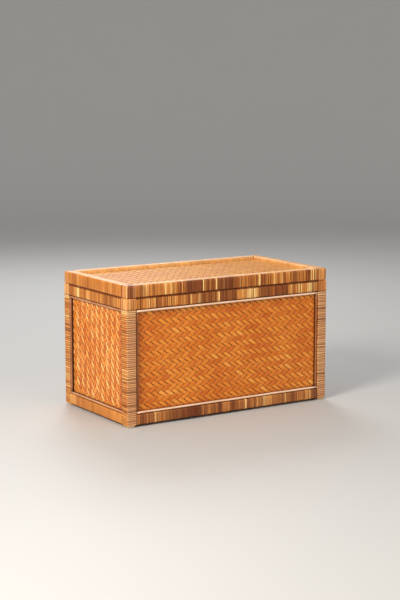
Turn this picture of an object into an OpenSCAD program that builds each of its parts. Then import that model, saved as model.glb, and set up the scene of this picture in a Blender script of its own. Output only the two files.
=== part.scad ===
// Wicker storage trunk: a wooden frame wrapped in cane, with woven cane
// panels in its sides and lid, and a lid on two butt hinges at the back.
// Millimetres. X is the length, -Y the front, Z up, origin on the floor
// under the middle of the trunk.

/* [Overall] */
// Length of the trunk
case_w = 870; // [700:5:1000]
// Depth from front to back
case_d = 468; // [380:2:560]
// Height from the floor to the top of the lid
case_h = 505; // [420:1:600]
// Height of the line where the lid meets the body
seam_z = 459; // [370:1:550]
// Gap between the closed lid and the body
seam_gap = 0.6; // [0.4:0.1:1.5]

/* [Frame] */
// Width of each square corner post
post_w = 39; // [32:1:50]
// Height of the rails at the top of the body
top_rail_h = 40; // [30:1:50]
// Height of the rails at the foot of the body
bottom_rail_h = 37; // [30:1:50]
// Thickness of the body rails, from outside to inside
rail_t = 30; // [26:1:32]
// Width of the lid rails, seen from above
lid_rail_w = 39; // [32:1:50]
// Thickness of the cane wrapped round posts and rails
wrap_t = 1.5; // [1:0.1:2.5]
// Height of the cane patch over the top of each post
post_cap_h = 42; // [20:1:60]

/* [Rounded edges] */
// Radius of the rail edges beside the panels
panel_edge_r = 5; // [3:0.5:6]
// Radius of the edges at the seam, which also stop the open lid
seam_edge_r = 5; // [4.5:0.1:5.5]
// Radius of the lid's upper edges
lid_edge_r = 8; // [5:0.5:10]
// Radius of the lid's upright corners
lid_corner_r = 11; // [6:0.5:14]
// Radius of the outer corner of each post
post_corner_r = 6; // [5.5:0.5:8]

/* [Panels] */
// Distance from the frame's outer face to the backing boards
board_in = 15; // [12:0.5:17]
// Thickness of the backing boards, floor and lid board
board_t = 6; // [4:0.5:9]
// Thickness of the woven cane mats
mat_t = 1.6; // [1:0.1:3]
// Depth of the lid mat below the top of the lid
lid_mat_in = 13; // [8:0.5:18]
// Width of the round-fronted bead along each panel's edges
bead_w = 8.5; // [6:0.5:12]
// Height of the bead off the mat
bead_h = 11; // [7:0.5:12]
// Space between the frame and the bead
bead_gap = 2; // [0.5:0.5:6]

/* [Feet] */
// Height of the feet
foot_h = 8; // [5:1:20]
// Width of a foot where it meets its post
foot_top_w = 34; // [24:1:36]
// Width of a foot on the floor
foot_base_w = 27; // [18:1:32]

/* [Hinges] */
// Distance of each hinge from the middle of the trunk
hinge_x = 265; // [150:5:330]
// Length of a hinge
hinge_len = 60; // [40:5:80]
// Depth of the hinge pin inside the back face
pin_in = 2.8; // [2.7:0.1:2.9]
// Radius of the hinge pin
pin_r = 1.1; // [0.9:0.1:1.3]
// Outer radius of the hinge knuckles
knuckle_r = 2.4; // [2.2:0.1:2.6]
// Width of each hinge leaf, from the pin to its inner edge
leaf_w = 25; // [20:1:27]
// Thickness of a hinge leaf
leaf_t = 1.2; // [1:0.1:1.5]

/* [Hidden] */
$fn = 48;

half_w = case_w / 2;
half_d = case_d / 2;
body_top = seam_z - seam_gap / 2;
lid_base = seam_z + seam_gap / 2;
lid_h = case_h - lid_base;
small_r = 3;                                  // the frame's hidden edges
cap_base = body_top - post_cap_h;
panel_base = foot_h + bottom_rail_h;
panel_top = body_top - top_rail_h;
panel_h = panel_top - panel_base;
lid_mat_top = case_h - lid_mat_in;
lid_board_top = lid_mat_top - mat_t;
floor_top = foot_h + 12;

pin_y = half_d - pin_in;
bore_clear = 0.05;                            // pin to knuckle, on the radius
turn_clear = 0.4;                             // round the turning knuckles
knuckle_n = 5;
knuckle_gap = 0.3;
knuckle_pitch = hinge_len / knuckle_n;
screw_n = 3;
screw_pitch = 20;
screw_in = 17;                                // from the pin to the screws
screw_r = 1.4;
screw_head_r = 2.8;
screw_len = 14;

wood = "burlywood";
cane = "peru";
pale_cane = "tan";
weave = "goldenrod";
brass = "darkkhaki";

// ---- Placing ----

// Turns a piece made for the front to another side
module on_side(side) {
  if (side == "front") children();
  if (side == "back") mirror([0, 1, 0]) children();
  if (side == "left") rotate([0, 0, -90]) children();
  if (side == "right") mirror([1, 0, 0]) rotate([0, 0, -90]) children();
}

// Distance of a side's outer face from the middle
function reach(side) = side == "front" || side == "back" ? half_d : half_w;

// Half the length between the posts along a side
function half_run(side) = (side == "front" || side == "back" ? half_w : half_d) - post_w;

// Carries a flat outline drawn in Y and Z along X
module along_x(length) {
  rotate([90, 0, 90]) translate([0, 0, -length / 2]) linear_extrude(length) children();
}

// Carries a flat outline drawn in X and Z along Y
module along_y(length) {
  rotate([90, 0, 0]) translate([0, 0, -length / 2]) linear_extrude(length) children();
}

// Rectangle with its own radius at each corner: low left, low right, high right, high left
module rounded(x0, y0, x1, y1, r) {
  polygon([
    [x0 + r[0], y0], [x1 - r[1], y0], [x1, y0 + r[1]], [x1, y1 - r[2]],
    [x1 - r[2], y1], [x0 + r[3], y1], [x0, y1 - r[3]], [x0, y0 + r[0]]
  ]);
  translate([x0 + r[0], y0 + r[0]]) circle(r[0]);
  translate([x1 - r[1], y0 + r[1]]) circle(r[1]);
  translate([x1 - r[2], y1 - r[2]]) circle(r[2]);
  translate([x0 + r[3], y1 - r[3]]) circle(r[3]);
}

// The same rectangle drawn in by t all round, its edges still parallel
module inset_rounded(x0, y0, x1, y1, r, t) {
  rounded(x0 + t, y0 + t, x1 - t, y1 - t, [for (a = r) a - t]);
}

// A block as large as the trunk in plan, with rounded corners and edges, drawn in by t
module round_block(z0, z1, plan_r, low_r, high_r, t) {
  radii = [low_r, low_r, high_r, high_r];
  along_x(case_w - 2 * plan_r) inset_rounded(-half_d, z0, half_d, z1, radii, t);
  along_y(case_d - 2 * plan_r) inset_rounded(-half_w, z0, half_w, z1, radii, t);
  for (x = [-1, 1], y = [-1, 1]) translate([x * (half_w - plan_r), y * (half_d - plan_r), 0])
    rotate_extrude() intersection() {
      inset_rounded(-plan_r, z0, plan_r, z1, radii, t);
      translate([0, z0]) square([plan_r, z1 - z0]);
    }
}

// ---- Rails ----

// Outline of a front rail, drawn in by t: outer face at -reach
module rail_outline(side, width, z0, z1, r, t) {
  inset_rounded(-reach(side), z0, -reach(side) + width, z1, r, t);
}

module body_rail(side, z0, z1, r) {
  on_side(side) along_x(2 * half_run(side)) rail_outline(side, rail_t, z0, z1, r, wrap_t);
}

module body_rail_wrap(side, z0, z1, r) {
  on_side(side) along_x(2 * half_run(side)) difference() {
    rail_outline(side, rail_t, z0, z1, r, 0);
    rail_outline(side, rail_t, z0, z1, r, wrap_t);
  }
}

top_r = [panel_edge_r, small_r, small_r, seam_edge_r];
bottom_r = [panel_edge_r, small_r, small_r, panel_edge_r];

module top_rail(side) {
  color(wood) difference() {
    body_rail(side, panel_top, body_top, top_r);
    if (side == "back") hinge_recesses(-1);
  }
}

module top_rail_wrap(side) {
  color(cane) difference() {
    body_rail_wrap(side, panel_top, body_top, top_r);
    if (side == "back") hinge_recesses(-1);
  }
}

module bottom_rail(side) {
  color(wood) body_rail(side, foot_h, panel_base, bottom_r);
}

module bottom_rail_wrap(side) {
  color(pale_cane) body_rail_wrap(side, foot_h, panel_base, bottom_r);
}

// ---- Posts ----

// Moves a piece made for the back right corner to corner [1 or -1, 1 or -1]
module at_corner(c) {
  mirror([c[0] < 0 ? 1 : 0, 0, 0]) mirror([0, c[1] < 0 ? 1 : 0, 0]) children();
}

module post_outline(t) {
  inset_rounded(half_w - post_w, half_d - post_w, half_w, half_d,
    [small_r, small_r, post_corner_r, small_r], t);
}

// A post's own solid from z0 up, drawn in by t
module post_solid(c, z0, t) {
  intersection() {
    at_corner(c) translate([0, 0, z0]) linear_extrude(case_h) post_outline(t);
    round_block(0, body_top, post_corner_r, small_r, seam_edge_r, t);
  }
}

module post(c) {
  color(wood) post_solid(c, foot_h, wrap_t);
}

module post_wrap(c) {
  color(cane) at_corner(c) translate([0, 0, foot_h]) linear_extrude(cap_base - foot_h) difference() {
    post_outline(0);
    post_outline(wrap_t);
  }
}

// Upright strips over the top of every post
module post_caps() {
  color(pale_cane) for (x = [-1, 1], y = [-1, 1]) difference() {
    post_solid([x, y], cap_base, 0);
    post_solid([x, y], foot_h, wrap_t);
  }
}

// Tapered stubs under the posts
module feet() {
  lift = foot_h;
  color(wood) for (x = [-1, 1], y = [-1, 1]) {
    translate([x * (half_w - post_w / 2), y * (half_d - post_w / 2), 0]) intersection() {
      along_x(foot_top_w) foot_outline(lift);
      along_y(foot_top_w) foot_outline(lift);
    }
  }
}

module foot_outline(lift) {
  polygon([
    [-foot_base_w / 2, 0], [foot_base_w / 2, 0],
    [foot_top_w / 2, lift], [-foot_top_w / 2, lift]
  ]);
}

// ---- Panels ----

module side_board(side) {
  color(wood) on_side(side)
    translate([-half_run(side), -reach(side) + board_in, panel_base])
      cube([2 * half_run(side), board_t, panel_h]);
}

module side_mat(side) {
  color(weave) on_side(side)
    translate([-half_run(side), -reach(side) + board_in - mat_t, panel_base])
      cube([2 * half_run(side), mat_t, panel_h]);
}

// The floor runs to the bottom rails, and is cut back round the posts
module floor_board() {
  color(wood) difference() {
    translate([-half_w + rail_t, -half_d + rail_t, floor_top - board_t])
      cube([case_w - 2 * rail_t, case_d - 2 * rail_t, board_t]);
    for (x = [-1, 1], y = [-1, 1])
      translate([x * half_w, y * half_d, floor_top]) cube(2 * post_w, center = true);
  }
}

// Bead with its flat back on the mat and its round front outwards
module bead(length) {
  r = bead_w / 2;
  along_x(length) {
    translate([r - bead_h, -r]) square([bead_h - r, bead_w]);
    translate([r - bead_h, 0]) circle(r);
  }
}

// One bead along each edge of a panel: two full length, two between them
module beads(side) {
  edge = bead_gap + bead_w / 2;
  long = 2 * half_run(side) - 2 * bead_gap;
  short = panel_h - 2 * bead_gap - 2 * bead_w;
  mid = (panel_base + panel_top) / 2;
  color(cane) on_side(side) translate([0, -reach(side) + board_in - mat_t, mid]) {
    for (z = [-1, 1]) translate([0, 0, z * (panel_h / 2 - edge)]) bead(long);
    for (x = [-1, 1]) translate([x * (half_run(side) - edge), 0, 0]) rotate([0, 90, 0]) bead(short);
  }
}

// ---- Lid ----

// The lid's outer shape, drawn in by t all round
module lid_block(t) {
  round_block(lid_base, case_h, lid_corner_r, seam_edge_r, lid_edge_r, t);
}

lid_r = [seam_edge_r, small_r, lid_edge_r, lid_edge_r];

// Front and back rails run the lid's full length, and the ends fit between them
module lid_rail(side) {
  full = side == "front" || side == "back";
  length = full ? case_w : case_d - 2 * (lid_rail_w - wrap_t);
  color(wood) difference() {
    intersection() {
      on_side(side) along_x(length) rail_outline(side, lid_rail_w, lid_base, case_h, lid_r, wrap_t);
      lid_block(wrap_t);
    }
    if (side == "back") hinge_recesses(1);
  }
}

module lid_rail_wrap(side) {
  length = 2 * (reach(side == "front" || side == "back" ? "left" : "front") - lid_rail_w);
  color(cane) difference() {
    on_side(side) along_x(length) difference() {
      rail_outline(side, lid_rail_w, lid_base, case_h, lid_r, 0);
      rail_outline(side, lid_rail_w, lid_base, case_h, lid_r, wrap_t);
    }
    if (side == "back") hinge_recesses(1);
  }
}

// Strips turned over the four corners of the lid
module lid_caps() {
  color(pale_cane) for (x = [-1, 1], y = [-1, 1]) difference() {
    intersection() {
      lid_block(0);
      translate([x * half_w, y * half_d, lid_base]) cube([2 * lid_rail_w, 2 * lid_rail_w, 4 * lid_h],
        center = true);
    }
    lid_block(wrap_t);
  }
}

module lid_board() {
  color(wood) translate([-half_w + lid_rail_w, -half_d + lid_rail_w, lid_board_top - board_t])
    cube([case_w - 2 * lid_rail_w, case_d - 2 * lid_rail_w, board_t]);
}

module lid_mat() {
  color(weave) translate([-half_w + lid_rail_w, -half_d + lid_rail_w, lid_board_top])
    cube([case_w - 2 * lid_rail_w, case_d - 2 * lid_rail_w, mat_t]);
}

// ---- Hinges ----

// Every hinge in its place, its own origin on the pin at the seam
module at_hinges() {
  for (x = [-1, 1]) translate([x * hinge_x, pin_y, seam_z]) children();
}

// Room for one set of leaves and all the knuckles: up is 1 in the lid and -1 in the body
module hinge_recesses(up) {
  room = hinge_len + 2 * turn_clear;
  side = knuckle_r + turn_clear;
  at_hinges() mirror([0, 0, up < 0 ? 1 : 0]) {
    translate([-room / 2, -side, -side]) cube([room, side + 2 * pin_in, 2 * side]);
    translate([-hinge_len / 2, -leaf_w, -side]) cube([hinge_len, leaf_w, side + seam_gap / 2 + leaf_t]);
  }
}

// A flat leaf with its knuckles: ids are the knuckle places that it holds
module leaf(up, ids) {
  base = up > 0 ? seam_gap / 2 : -seam_gap / 2 - leaf_t;
  side = knuckle_r + turn_clear;
  long = knuckle_pitch - knuckle_gap;
  color(brass) at_hinges() difference() {
    union() {
      translate([-hinge_len / 2, -leaf_w, base]) cube([hinge_len, leaf_w - side, leaf_t]);
      for (i = ids) translate([(i - (knuckle_n - 1) / 2) * knuckle_pitch, 0, 0]) {
        translate([-long / 2, -side, base]) cube([long, side, leaf_t]);
        rotate([0, 90, 0]) cylinder(r = knuckle_r, h = long, center = true);
      }
    }
    rotate([0, 90, 0]) cylinder(r = pin_r + bore_clear, h = 2 * hinge_len, center = true);
    at_screws(up) screw_head(bore_clear);
  }
}

module hinge_pins() {
  color(brass) at_hinges() rotate([0, 90, 0]) cylinder(r = pin_r, h = hinge_len, center = true);
}

// Screw places on a leaf, with +Z pointing out of the leaf's seam face
module at_screws(up) {
  for (i = [0:screw_n - 1]) {
    translate([(i - (screw_n - 1) / 2) * screw_pitch, -screw_in, up * seam_gap / 2])
      mirror([0, 0, up > 0 ? 1 : 0]) children();
  }
}

// Countersunk head, flush with the leaf
module screw_head(clear) {
  translate([0, 0, -leaf_t]) cylinder(r1 = screw_r + clear, r2 = screw_head_r + clear, h = leaf_t);
}

module hinge_screws(up) {
  color(brass) at_hinges() at_screws(up) {
    screw_head(0);
    translate([0, 0, -screw_len]) cylinder(r = screw_r, h = screw_len - leaf_t);
  }
}

// ---- Nodes ----

post([-1, -1]);  // post_front_left
post([1, -1]);  // post_front_right
post([-1, 1]);  // post_back_left
post([1, 1]);  // post_back_right
post_wrap([-1, -1]);  // post_wrap_front_left
post_wrap([1, -1]);  // post_wrap_front_right
post_wrap([-1, 1]);  // post_wrap_back_left
post_wrap([1, 1]);  // post_wrap_back_right
post_caps();
feet();
top_rail("front");  // top_rail_front
top_rail("back");  // top_rail_back
top_rail("left");  // top_rail_left
top_rail("right");  // top_rail_right
top_rail_wrap("front");  // top_rail_wrap_front
top_rail_wrap("back");  // top_rail_wrap_back
top_rail_wrap("left");  // top_rail_wrap_left
top_rail_wrap("right");  // top_rail_wrap_right
bottom_rail("front");  // bottom_rail_front
bottom_rail("back");  // bottom_rail_back
bottom_rail("left");  // bottom_rail_left
bottom_rail("right");  // bottom_rail_right
bottom_rail_wrap("front");  // bottom_rail_wrap_front
bottom_rail_wrap("back");  // bottom_rail_wrap_back
bottom_rail_wrap("left");  // bottom_rail_wrap_left
bottom_rail_wrap("right");  // bottom_rail_wrap_right
side_board("front");  // board_front
side_board("back");  // board_back
side_board("left");  // board_left
side_board("right");  // board_right
floor_board();
side_mat("front");  // mat_front
side_mat("back");  // mat_back
side_mat("left");  // mat_left
side_mat("right");  // mat_right
beads("front");  // beads_front
beads("back");  // beads_back
beads("left");  // beads_left
beads("right");  // beads_right
lid_rail("front");  // lid_rail_front
lid_rail("back");  // lid_rail_back
lid_rail("left");  // lid_rail_left
lid_rail("right");  // lid_rail_right
lid_rail_wrap("front");  // lid_rail_wrap_front
lid_rail_wrap("back");  // lid_rail_wrap_back
lid_rail_wrap("left");  // lid_rail_wrap_left
lid_rail_wrap("right");  // lid_rail_wrap_right
lid_caps();
lid_board();
lid_mat();
leaf(-1, [0, 2, 4]);  // hinge_body_leaves
leaf(1, [1, 3]);  // hinge_lid_leaves
hinge_pins();
hinge_screws(-1);  // hinge_body_screws
hinge_screws(1);  // hinge_lid_screws
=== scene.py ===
import bpy
import math
import numpy as np
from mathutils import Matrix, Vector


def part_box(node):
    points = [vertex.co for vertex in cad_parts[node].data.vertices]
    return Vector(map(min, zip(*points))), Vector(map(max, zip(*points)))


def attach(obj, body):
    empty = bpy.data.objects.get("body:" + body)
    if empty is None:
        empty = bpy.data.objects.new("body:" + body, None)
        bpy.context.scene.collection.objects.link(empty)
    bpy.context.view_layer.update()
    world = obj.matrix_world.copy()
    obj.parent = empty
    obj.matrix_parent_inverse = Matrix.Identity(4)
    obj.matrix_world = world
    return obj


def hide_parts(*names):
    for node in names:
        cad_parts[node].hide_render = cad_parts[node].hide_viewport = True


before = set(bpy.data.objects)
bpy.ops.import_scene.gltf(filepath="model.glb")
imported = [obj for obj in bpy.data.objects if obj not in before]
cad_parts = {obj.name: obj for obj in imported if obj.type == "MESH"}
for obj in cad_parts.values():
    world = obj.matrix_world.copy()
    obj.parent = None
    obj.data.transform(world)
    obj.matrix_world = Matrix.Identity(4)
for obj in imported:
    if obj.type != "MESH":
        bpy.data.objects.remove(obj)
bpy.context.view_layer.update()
mm = 0.001
sides = ["front", "back", "left", "right"]
corners = {"front_left": (-1, -1), "front_right": (1, -1), "back_left": (-1, 1), "back_right": (1, 1)}
# first random seed of each kind of piece
seeds = {
    "rails": 100, "posts": 200, "mats": 300, "postCaps": 400, "lidCaps": 410, "innerCaps": 430, "beads": 500,
}
print("frame loaded")


camera = {
    "lens": 88.26,
    "place": (-2.9298, -4.5898, 1.2520),
    "turn": 32.70,      # degrees from +Y towards +X
    "dip": 9.01,        # degrees below level
    "reach": 50,        # metres to the far clip
}


# A camera at its place, turned and dipped by the two angles
def makeCamera(s):
    data = bpy.data.cameras.new("camera")
    data.lens = s["lens"]
    data.clip_end = s["reach"]
    obj = bpy.data.objects.new("camera", data)
    obj.location = s["place"]
    obj.rotation_euler = (math.radians(90 - s["dip"]), 0, math.radians(-s["turn"]))
    bpy.context.scene.collection.objects.link(obj)
    bpy.context.scene.camera = obj


makeCamera(camera)


# Quads over a grid of rows and columns, row by row, joined round where asked
def gridFaces(rows, cols, roundRows=False, roundCols=False):
    i = np.arange(rows if roundRows else rows - 1)[:, None]
    j = np.arange(cols if roundCols else cols - 1)[None, :]
    i2, j2 = (i + 1) % rows, (j + 1) % cols
    return np.stack([i * cols + j, i2 * cols + j, i2 * cols + j2, i * cols + j2], axis=-1).reshape(-1, 4)


# Six times the signed volume inside a closed skin of quads: positive when its faces point out
def signedVolume(points, faces):
    a, b, c, d = (points[faces[:, k]] for k in range(4))
    return np.sum(a * np.cross(b, c)) + np.sum(a * np.cross(c, d))


# One shell: its points, its quads turned outwards, and a colour and UV for every face corner
def shell(points, faces, tint, uv):
    flip = signedVolume(points, faces) < 0
    if flip:
        faces = faces[:, ::-1]
        tint = tint[:, ::-1]
        uv = uv[:, ::-1]
    return {"points": points, "faces": faces, "tint": tint, "uv": uv}


# Rings of points joined in order, each end closed by quads across its ring
def tubeFaces(rows, cols):
    k = np.arange(cols // 2 - 1)
    lid = np.stack([k, k + 1, cols - 2 - k, cols - 1 - k], axis=1)
    return np.concatenate([gridFaces(rows, cols, roundCols=True), lid, lid[:, ::-1] + (rows - 1) * cols])


# A grid of points as a shell. tone holds one value a row, taken from a face's first row; height,
# stain with painted shade, and painted sheen one a point; across and along are the UV map, with one
# column more to close the round.
def stripShell(points, faces, tone, height, stain, sheen, across, along):
    cols = points.shape[1]
    row, col = faces // cols, faces % cols
    first = np.repeat(row.min(axis=1, keepdims=True), 4, axis=1)
    closing = np.where((col == 0) & (col.max(axis=1, keepdims=True) == cols - 1), cols, col)
    tint = np.stack([tone[first], height[row, col], stain[row, col], sheen[row, col]], axis=-1)
    uv = np.stack([across[row, closing], along[row, closing]], axis=-1)
    return shell(points.reshape(-1, 3), faces, tint, uv)


# Shells put together as one mesh object at the origin, riding on a body in a CAD node's place
def makePiece(name, shells, body, slotName, material, *replaced):
    starts = np.cumsum([0] + [len(s["points"]) for s in shells[:-1]])
    points = np.concatenate([s["points"] for s in shells])
    faces = np.concatenate([s["faces"] + k for s, k in zip(shells, starts)])
    tint = np.concatenate([s["tint"] for s in shells]).reshape(-1, 4)
    uv = np.concatenate([s["uv"] for s in shells]).reshape(-1, 2)
    mesh = bpy.data.meshes.new(name)
    mesh.vertices.add(len(points))
    mesh.vertices.foreach_set("co", points.astype(np.float32).ravel())
    mesh.loops.add(faces.size)
    mesh.loops.foreach_set("vertex_index", faces.astype(np.int32).ravel())
    mesh.polygons.add(len(faces))
    mesh.polygons.foreach_set("loop_start", np.arange(0, faces.size, 4, dtype=np.int32))
    mesh.update(calc_edges=True)
    mesh.polygons.foreach_set("use_smooth", np.ones(len(faces), dtype=bool))
    mesh.color_attributes.new(name="strip", type="FLOAT_COLOR", domain="CORNER")
    mesh.color_attributes["strip"].data.foreach_set("color", tint.astype(np.float32).ravel())
    mesh.uv_layers.new(name="along")
    mesh.uv_layers["along"].data.foreach_set("uv", uv.astype(np.float32).ravel())
    mesh.materials.append(material)
    obj = bpy.data.objects.new(name, mesh)
    bpy.context.scene.collection.objects.link(obj)
    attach(obj, body)
    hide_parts(*replaced)


# A socket that does arithmetic: an expression adds its Math nodes
class Wire:
    def __init__(self, graph, socket):
        self.graph, self.socket = graph, socket

    def maths(self, operation, *values):
        return self.graph.node("ShaderNodeMath", {"operation": operation}, dict(enumerate(values)))

    def __add__(self, other):
        return self.maths("ADD", self, other)

    __radd__ = __add__

    def __sub__(self, other):
        return self.maths("SUBTRACT", self, other)

    def __rsub__(self, other):
        return self.maths("SUBTRACT", other, self)

    def __mul__(self, other):
        return self.maths("MULTIPLY", self, other)

    __rmul__ = __mul__

    def clamp(self):
        return self.graph.node("ShaderNodeMath", {"operation": "ADD", "use_clamp": True}, {0: self, 1: 0.0})


# One material's nodes
class Graph:
    def __init__(self, name):
        self.material = bpy.data.materials.new(name)
        self.material.use_nodes = True
        self.tree = self.material.node_tree
        self.shader = self.tree.nodes["Principled BSDF"]

    # Any node: its settings first, then the values or links of its sockets, then the socket to use
    def node(self, kind, settings=None, inputs=None, output=0):
        made = self.tree.nodes.new(kind)
        for key, value in (settings or {}).items():
            if key == "stops":
                self.fillRamp(made.color_ramp, value)
            else:
                setattr(made, key, value)
        for key, value in (inputs or {}).items():
            self.join(made.inputs[key], value)
        return Wire(self, made.outputs[output])

    # Links a wire to a socket, or sets the socket to a plain value
    def join(self, socket, value):
        if isinstance(value, Wire):
            self.tree.links.new(value.socket, socket)
        else:
            socket.default_value = value

    def fillRamp(self, ramp, stops):
        while len(ramp.elements) < len(stops):
            ramp.elements.new(0.5)
        for element, (place, colour) in zip(ramp.elements, stops):
            element.position = place
            element.color = colour

    def ramp(self, value, stops):
        return self.node("ShaderNodeValToRGB", {"stops": stops}, {0: value})

    # a where factor is 0, b where it is 1
    def mix(self, factor, a, b):
        settings = {"data_type": "RGBA", "blend_type": "MIX", "clamp_factor": True}
        return self.node("ShaderNodeMix", settings, {0: factor, 6: a, 7: b}, 2)

    def noise(self, vector, scale, detail=2.0, rough=0.5):
        sockets = {"Vector": vector, "Scale": scale, "Detail": detail, "Roughness": rough}
        return self.node("ShaderNodeTexNoise", None, sockets)

    def stretched(self, vector, scale):
        return self.node("ShaderNodeMapping", None, {"Vector": vector, "Scale": scale})

    def bump(self, height, strength, distance):
        sockets = {"Height": height, "Strength": strength, "Distance": distance}
        return self.node("ShaderNodeBump", None, sockets)

    # Fills the shader's sockets, an underline standing for a space
    def finish(self, **sockets):
        for key, value in sockets.items():
            self.join(self.shader.inputs[key.replace("_", " ")], value)
        return self.material


# Screen colour, 0 to 255, as the linear colour that shaders take
def colour(r, g, b):
    c = np.array([r, g, b]) / 255
    line = np.where(c <= 0.04045, c / 12.92, ((c + 0.055) / 1.055) ** 2.4)
    return (*line.tolist(), 1.0)


# Peel cane in strips. The strip colour attribute holds the strip's own tone, its height between the
# joints, its stain together with painted shade, and in alpha its painted sheen. The UV map runs across
# and along the strip. Colour = ramp(tone + fibre + cloud + wide noise), then painted sheen, stain with
# painted shade, and the dark joint over it.
def caneMaterial(name, s):
    g = Graph(name)
    strip = g.node("ShaderNodeVertexColor", {"layer_name": "strip"})
    tone, height, stain = (g.node("ShaderNodeSeparateColor", None, {0: strip}, k) for k in range(3))
    sheen = g.node("ShaderNodeVertexColor", {"layer_name": "strip"}, None, "Alpha")
    uv = g.node("ShaderNodeUVMap", {"uv_map": "along"})
    shift = g.node("ShaderNodeCombineXYZ", None, {0: tone * s["apart"][0], 1: tone * s["apart"][1], 2: 0.0})
    place = g.node("ShaderNodeVectorMath", {"operation": "ADD"}, {0: uv, 1: shift})
    fibre = g.noise(g.stretched(place, (s["fibreAcross"], s["fibreAlong"], 1)), 1.0, detail=3.0, rough=0.6)
    cloud = g.noise(g.stretched(place, s["cloudScale"]), 1.0)
    wide = g.noise(g.node("ShaderNodeTexCoord", None, None, "Object"), s["wideScale"])
    streak = (fibre - 0.5) * s["fibre"] + (cloud - 0.5) * s["cloud"] + (wide - 0.5) * s["wide"]
    stops = list(zip(s["stops"], (s["dark"], s["mid"], s["main"], s["light"])))
    base = g.ramp((tone + streak).clamp(), stops)
    # painted sheen: faces that catch the light are washed towards a pale colour
    base = g.mix((sheen * (s["sheenDepth"] + streak)).clamp(), base, s["sheenColour"])
    # stain, which also carries painted shade: along the seam between lid and body, and deep in the bead
    # recesses
    deep = g.mix((fibre * 2.0 - 0.5).clamp(), s["stainDeep"], s["stainWarm"])
    base = g.mix((stain * (1.0 + streak * s["stainStreak"])).clamp(), base, deep)
    joint = g.node("ShaderNodeMapRange", {"interpolation_type": "SMOOTHSTEP"},
                   {0: height, 1: 0.0, 2: s["jointTop"], 3: s["jointDark"], 4: 0.0})
    # the painted sheen washes out the dark joints too
    joint = joint * (1 - sheen * s["sheenHidesJoints"])
    base = g.mix(joint, base, s["joint"])
    rough = s["rough"] + (fibre - 0.5) * s["roughFibre"] + joint * s["roughJoint"]
    relief = g.bump(fibre * 0.6 + cloud * 0.4, s["bump"], s["bumpDepth"])
    return g.finish(Base_Color=base, Roughness=rough, Normal=relief, Coat_Weight=s["coat"],
                    Coat_Roughness=s["coatRough"], Specular_IOR_Level=s["shine"])


railCane = {
    "fibreAcross": 1500, "fibreAlong": 25, "cloudScale": (30, 14, 1), "wideScale": 7.0,
    "fibre": 0.4, "cloud": 0.35, "wide": 0.3,    # how much each noise moves the tone
    "apart": (37.0, 11.0),                       # moves each strip to its own part of the noise
    # the painted sheen below: how strongly it is laid, its pale colour, and how much it hides the joints
    "stops": (0.0, 0.33, 0.66, 1.0), "sheenDepth": 0.85, "stainStreak": 1.5,
    "rough": 0.42, "roughFibre": 0.2, "roughJoint": 0.3,
    "dark": colour(88, 38, 10), "mid": colour(156, 82, 26), "main": colour(208, 132, 56),
    "light": colour(250, 204, 128), "sheenColour": colour(178, 136, 98),
    "stainDeep": colour(50, 20, 4), "stainWarm": colour(140, 64, 14),
    "joint": colour(28, 8, 2), "jointDark": 1.0, "jointTop": 0.85, "sheenHidesJoints": 0.0,
    "bump": 0.35, "bumpDepth": 0.4 * mm, "coat": 0.06, "coatRough": 0.25, "shine": 0.28,
}
# the lid rails' painted sheen: paler, and washing out their joints
lidRailCane = dict(railCane, sheenColour=colour(234, 176, 104), sheenHidesJoints=0.65)
postCane = dict(railCane, dark=colour(150, 78, 26), mid=colour(196, 112, 44), main=colour(222, 146, 70),
                light=colour(244, 192, 122), joint=colour(34, 13, 4), sheenColour=colour(204, 152, 108))
capCane = dict(railCane, coat=0.2, mid=colour(176, 100, 42), main=colour(218, 146, 78),
               light=colour(244, 190, 122))
# the beads' stain and joint colours paint the shade on their deep sides
beadCane = dict(railCane, dark=colour(96, 42, 14), mid=colour(168, 98, 52),
                main=colour(222, 168, 128), light=colour(248, 212, 182), stainDeep=colour(46, 16, 4),
                stainWarm=colour(84, 34, 8), joint=colour(58, 22, 6), jointDark=0.9, coat=0.4)
matCane = dict(railCane, fibreAcross=900, wide=0.5, rough=0.4,
               dark=colour(158, 66, 8), mid=colour(200, 100, 18), main=colour(226, 136, 42),
               light=colour(250, 182, 92), stainWarm=colour(178, 76, 12), stainDeep=colour(124, 46, 6),
               joint=colour(90, 30, 3), jointDark=0.85, coat=0.25, bump=0.3)
# the lid mat painted paler all over, joints and stains too: painted sheen on its top, seen at a grazing
# angle
lidMatSheenCane = dict(matCane, dark=colour(182, 104, 34), mid=colour(210, 132, 50), main=colour(231, 158, 60),
                  light=colour(247, 194, 98), stainWarm=colour(196, 116, 40), stainDeep=colour(160, 86, 26),
                  joint=colour(108, 50, 12), jointDark=0.75, coat=0.0, shine=0.15)
# the end mats painted brighter than the front's: a lit copy of the mat, with painted highlight
sideMatHighlightCane = dict(matCane, main=colour(234, 142, 50), light=colour(255, 206, 126))


# Thin plywood or planed wood: colour = ramp(0.8 grain + 0.2 rings), darker in broad spots. The grain
# is noise stretched along one axis of the object's own coordinates.
def woodMaterial(name, s):
    g = Graph(name)
    place = g.node("ShaderNodeTexCoord", None, None, "Object")
    grain = g.noise(g.stretched(place, s["grain"]), 1.0, detail=4.0, rough=0.6)
    rings = g.node("ShaderNodeTexWave", {"wave_type": "BANDS", "bands_direction": s["bands"]},
                   {"Vector": g.stretched(place, s["ringScale"]), "Scale": 1.0,
                    "Distortion": s["ringWaver"], "Detail": 3.0})
    level = (grain * (1 - s["rings"]) + rings * s["rings"]).clamp()
    base = g.ramp(level, list(zip(s["stops"], (s["dark"], s["main"], s["light"]))))
    spots = g.noise(place, s["spotScale"])
    base = g.mix((spots * s["spots"][0] - s["spots"][1]).clamp(), base, s["dark"])
    rough = s["rough"] + grain * s["roughGrain"]
    return g.finish(Base_Color=base, Roughness=rough, Normal=g.bump(grain, s["bump"], s["bumpDepth"]))


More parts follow.
